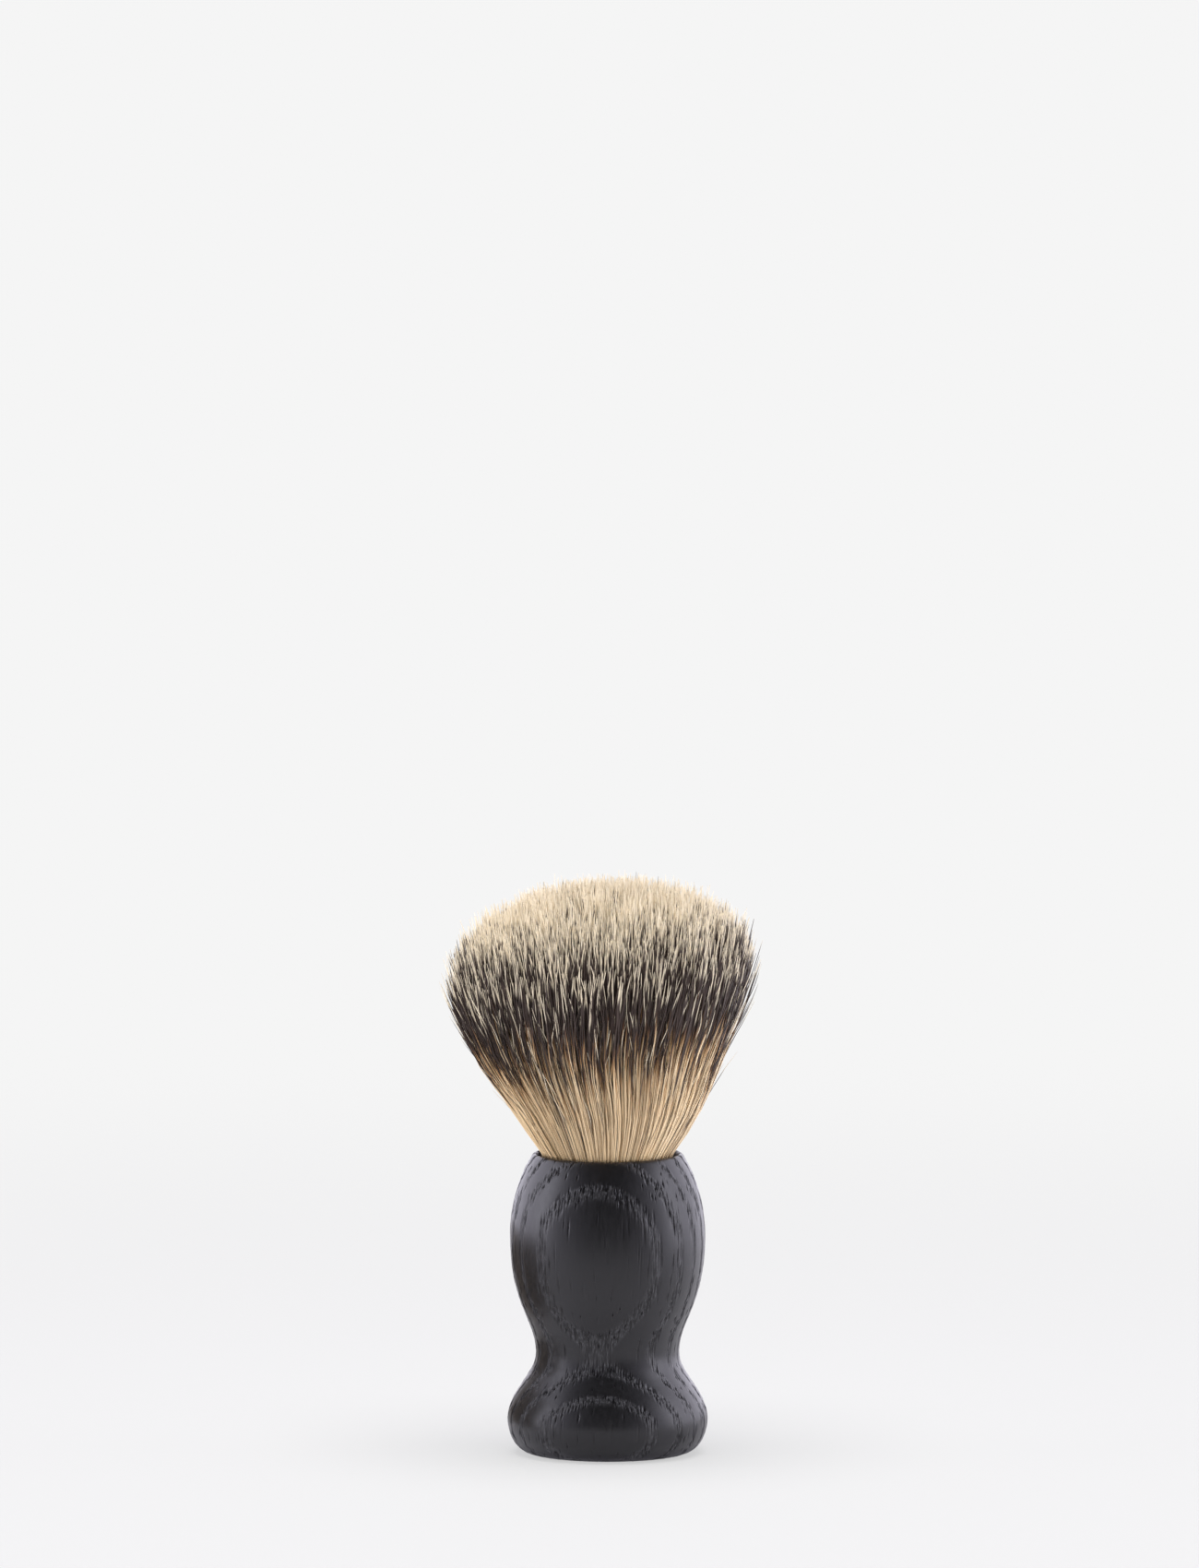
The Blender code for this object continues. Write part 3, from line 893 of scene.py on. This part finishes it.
def filament_material():
    """Synthetic filament: ivory tip, dark band, and a cream root that starts amber."""
    nodes = material_nodes("banded_filament")
    place = nodes.put("ShaderNodeUVMap", uv_map=UV_NAME).outputs[0]
    split = nodes.put("ShaderNodeSeparateXYZ", {0: place})
    column = nodes.math("FLOOR", nodes.math("MULTIPLY", split.outputs["X"], float(COLOUR_COLUMNS)))
    drawn = nodes.put("ShaderNodeTexWhiteNoise", {"W": column}, noise_dimensions="1D")
    chances = nodes.put("ShaderNodeSeparateColor", {0: drawn.outputs["Color"]}).outputs
    to_tip = nodes.math("MULTIPLY", split.outputs["Y"], LONGEST / MM)
    ivory = ivory_length(nodes, column, chances[0])
    fade_start = nodes.math("SUBTRACT", ivory, IVORY_FADE[0])
    fade_end = nodes.math("ADD", ivory, IVORY_FADE[1])
    dark = nodes.steer(to_tip, fade_start, fade_end, smooth=True)
    past_band = nodes.math("SUBTRACT", to_tip, nodes.steer(chances[1], 0.0, 1.0, *BAND_END))
    shaft = nodes.ramp(nodes.math("DIVIDE", past_band, BAND_FADE), SHAFT_COLOURS)
    shaft = nodes.mix(1.0, shaft, nodes.ramp(chances[2], SHAFT_TONES), "MULTIPLY")
    colour = nodes.mix(dark, nodes.mix(chances[2], *IVORY_COLOURS), shaft)
    roughness = nodes.steer(chances[2], 0.0, 1.0, 0.25, 0.42)
    return nodes.finish(Base_Color=colour, Roughness=roughness, IOR=1.5)


def epoxy_material():
    """Cured adhesive with a few bubbles."""
    nodes = material_nodes("amber_adhesive")
    where = nodes.object_place()
    cloud = nodes.noise(where, (400, 400, 400), detail=3.0)
    colour = nodes.ramp(cloud, [(0.35, (0.42, 0.26, 0.10)), (0.65, (0.62, 0.45, 0.22))])
    bubbles = nodes.put("ShaderNodeTexVoronoi", {"Vector": where, "Scale": 1400.0}).outputs["Distance"]
    roughness = nodes.steer(cloud, 0.3, 0.7, 0.18, 0.32)
    normal = nodes.bump(bubbles, 0.2, 0.05 * MM)
    return nodes.finish(Base_Color=colour, Roughness=roughness, Normal=normal)


def resin_material():
    """Cast resin, brown and slightly streaked."""
    nodes = material_nodes("cast_resin")
    swirl = nodes.noise(nodes.object_place(), (260, 260, 900), detail=4.0)
    colour = nodes.ramp(swirl, [(0.35, (0.22, 0.14, 0.07)), (0.65, (0.38, 0.26, 0.14))])
    roughness = nodes.steer(swirl, 0.3, 0.7, 0.28, 0.42)
    normal = nodes.bump(swirl, 0.15, 0.04 * MM)
    return nodes.finish(Base_Color=colour, Roughness=roughness, Normal=normal)


def thread_material():
    """Waxed thread, with the slant of its twisted plies."""
    nodes = material_nodes("waxed_thread")
    sockets = {"Vector": nodes.object_place(), "Scale": 900.0, "Distortion": 1.5}
    plies = nodes.put("ShaderNodeTexWave", sockets, bands_direction="DIAGONAL").outputs["Fac"]
    colour = nodes.ramp(plies, [(0.2, (0.42, 0.35, 0.24)), (0.8, (0.70, 0.62, 0.47))])
    roughness = nodes.steer(plies, 0.0, 1.0, 0.75, 0.55)
    normal = nodes.bump(plies, 0.6, 0.08 * MM)
    return nodes.finish(Base_Color=colour, Roughness=roughness, Normal=normal)


def dress_cad_nodes():
    """Give the hidden pieces that stay as CAD solids their materials."""
    for name, material in (
        ("adhesive_bed", epoxy_material()),
        ("resin_plug", resin_material()),
        ("binding_cord", thread_material()),
    ):
        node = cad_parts[name]
        node.data.materials.clear()
        node.data.materials.append(material)


# Studio

# Brightness of the backdrop that the camera sees.
BACKDROP = 0.913
# The room that the brush reflects: brighter behind the brush, from one heading to the other, and
# dim overhead.
ROOM_COLOUR = (0.97, 0.945, 1.07, 1.0)
ROOM_TURN = (-0.95, 0.40)
ROOM_LEVEL = (0.07, 2.15)
ROOM_CEILING = (0.45, 0.85)
CEILING_LEVEL = 0.15
# Floor: how opaque it is to the camera and in reflections, and the distances over which it fades.
FLOOR_RADIUS = 0.9
FLOOR_SIDES = 96
FLOOR_FADE = (0.05, 0.60)
FLOOR_SHARE = 0.4
FLOOR_REFLECTED = 0.90
FLOOR_DROP = 0.02 * MM
FLOOR_GREYS = (0.385, 0.405)
# Low card beside the brush.
FLAG_PLACE = (-46.0 * MM, -12.0 * MM)
FLAG_DEPTH = 90.0 * MM
FLAG_HEIGHT = 36.0 * MM
FLAG_BROWNS = [(0.0, (0.12, 0.09, 0.06)), (1.0, (0.14, 0.11, 0.07))]


def make_floor():
    """Pale floor disc that fades into the backdrop before its edge."""
    turns = np.arange(FLOOR_SIDES) * math.tau / FLOOR_SIDES
    drop = np.full(FLOOR_SIDES, -FLOOR_DROP)
    rim = np.stack([FLOOR_RADIUS * np.cos(turns), FLOOR_RADIUS * np.sin(turns), drop], 1)
    nodes = material_nodes("pale_floor")
    where = nodes.object_place()
    distance = nodes.put("ShaderNodeVectorMath", {0: where}, operation="LENGTH").outputs["Value"]
    speckle = nodes.noise(where, (900, 900, 900), detail=2.0)
    darkest, lightest = FLOOR_GREYS
    colour = nodes.ramp(speckle, [(0.0, (darkest,) * 3), (1.0, (lightest,) * 3)])
    reflected = nodes.put("ShaderNodeLightPath").outputs["Is Glossy Ray"]
    share = nodes.steer(reflected, 0.0, 1.0, FLOOR_SHARE, FLOOR_REFLECTED)
    fade = nodes.steer(distance, *FLOOR_FADE, share, 0.0, smooth=True)
    material = nodes.finish(Base_Color=colour, Roughness=0.9, Alpha=fade)
    floor = new_piece("floor", new_mesh("floor", rim, [np.arange(FLOOR_SIDES)[None, :]]), material)


def make_flag():
    """Low brown card that shows only in reflections, where it darkens the left of the handle's waist."""
    x, y = FLAG_PLACE
    back = y + FLAG_DEPTH
    corners = np.array([(x, y, 0), (x, back, 0), (x, back, FLAG_HEIGHT), (x, y, FLAG_HEIGHT)])
    nodes = material_nodes("brown_card")
    grain = nodes.noise(nodes.object_place(), (700, 700, 700), detail=2.0)
    material = nodes.finish(Base_Color=nodes.ramp(grain, FLAG_BROWNS), Roughness=0.9)
    flag = new_piece("flag", new_mesh("flag", corners, [np.arange(4)[None, :]]), material)
    flag.visible_camera = False
    flag.visible_shadow = False
    flag.visible_diffuse = False


def make_world():
    """Flat backdrop for the camera, and a studio that is bright beside and behind the brush."""
    world = bpy.data.worlds.new("studio")
    bpy.context.scene.world = world
    nodes = Nodes(world)
    nodes.tree.nodes.clear()
    toward = nodes.put("ShaderNodeTexCoord").outputs["Generated"]
    parts = nodes.put("ShaderNodeSeparateXYZ", {0: toward}).outputs
    squares = [nodes.math("POWER", parts[axis], 2.0) for axis in ("X", "Y")]
    flat = nodes.math("SQRT", nodes.math("ADD", *squares))
    behind = nodes.math("DIVIDE", parts["Y"], nodes.math("MAXIMUM", flat, 0.001))
    ceiling = nodes.steer(parts["Z"], *ROOM_CEILING, 1.0, CEILING_LEVEL, smooth=True)
    level = nodes.math("MULTIPLY", nodes.steer(behind, *ROOM_TURN, *ROOM_LEVEL), ceiling)
    room = nodes.put("ShaderNodeBackground", {"Color": ROOM_COLOUR, "Strength": level}).outputs[0]
    backdrop = (BACKDROP, BACKDROP, BACKDROP, 1)
    seen = nodes.put("ShaderNodeBackground", {"Color": backdrop}).outputs[0]
    camera_ray = nodes.put("ShaderNodeLightPath").outputs["Is Camera Ray"]
    mix = nodes.put("ShaderNodeMixShader", {0: camera_ray, 1: room, 2: seen}).outputs[0]
    nodes.put("ShaderNodeOutputWorld", {"Surface": mix})


COOL = (0.95, 0.96, 1.0)
NEUTRAL = (1.0, 0.99, 0.98)
WARM = (1.0, 0.98, 0.95)
# Soft boxes: place and size in metres, radiance and colour.
SOFTBOXES = {
    "left_softbox": ((-0.75, -0.05, 0.25), (0.30, 0.70), 2.0, COOL),
    "right_softbox": ((0.75, -0.05, 0.25), (0.30, 0.70), 2.0, COOL),
}
# Lights that brighten the bristles, but leave no reflections on the handle.
FILLS = {
    "top_softbox": ((0.0, -0.10, 0.85), (0.60, 0.60), 10.6, NEUTRAL),
    "front_fill": ((0.0, -0.90, 0.02), (0.50, 0.40), 5.8, WARM),
    "left_fill": ((-0.70, -0.50, 0.0), (0.40, 0.40), 5.4, WARM),
    "right_fill": ((0.70, -0.50, 0.0), (0.40, 0.40), 4.8, WARM),
}


def make_light(name, place, size, radiance, colour):
    """Soft box that faces the middle of the brush."""
    light = bpy.data.lights.new(name, "AREA")
    light.shape = "RECTANGLE"
    light.size, light.size_y = size
    light.energy = radiance * math.pi * size[0] * size[1]
    light.color = colour
    box = bpy.data.objects.new(name, light)
    box.location = place
    target = Vector((0, 0, RIM_HEIGHT))
    box.rotation_euler = (target - Vector(place)).to_track_quat("-Z", "Y").to_euler()
    box.visible_camera = False
    bpy.context.scene.collection.objects.link(box)
    return box


def make_lights():
    """Soft boxes beside the brush, and the fills."""
    for name, settings in SOFTBOXES.items():
        make_light(name, *settings)
    for name, settings in FILLS.items():
        make_light(name, *settings).visible_glossy = False


# Camera: a long lens that looks slightly down, aimed above the brush.
PICTURE_HEIGHT = 0.272
CAMERA_DISTANCE = 2.5
SENSOR = 36.0
CAMERA_PITCH = math.radians(5.6)
AIM = (-1.41 * MM, 0.0, 116.8 * MM)


def make_camera():
    """Camera at the front of the brush."""
    lens = bpy.data.cameras.new("camera")
    lens.sensor_width = SENSOR
    lens.lens = SENSOR * CAMERA_DISTANCE / PICTURE_HEIGHT
    lens.clip_end = 50.0
    camera = bpy.data.objects.new("camera", lens)
    back = Vector((0.0, -math.cos(CAMERA_PITCH), math.sin(CAMERA_PITCH)))
    camera.location = Vector(AIM) + back * CAMERA_DISTANCE
    camera.rotation_euler = (-back).to_track_quat("-Z", "Y").to_euler()
    bpy.context.scene.collection.objects.link(camera)
    bpy.context.scene.camera = camera


make_handle()
make_filaments()
dress_cad_nodes()
make_floor()
make_flag()
make_world()
make_lights()
make_camera()
bpy.context.scene.view_settings.view_transform = "Standard"
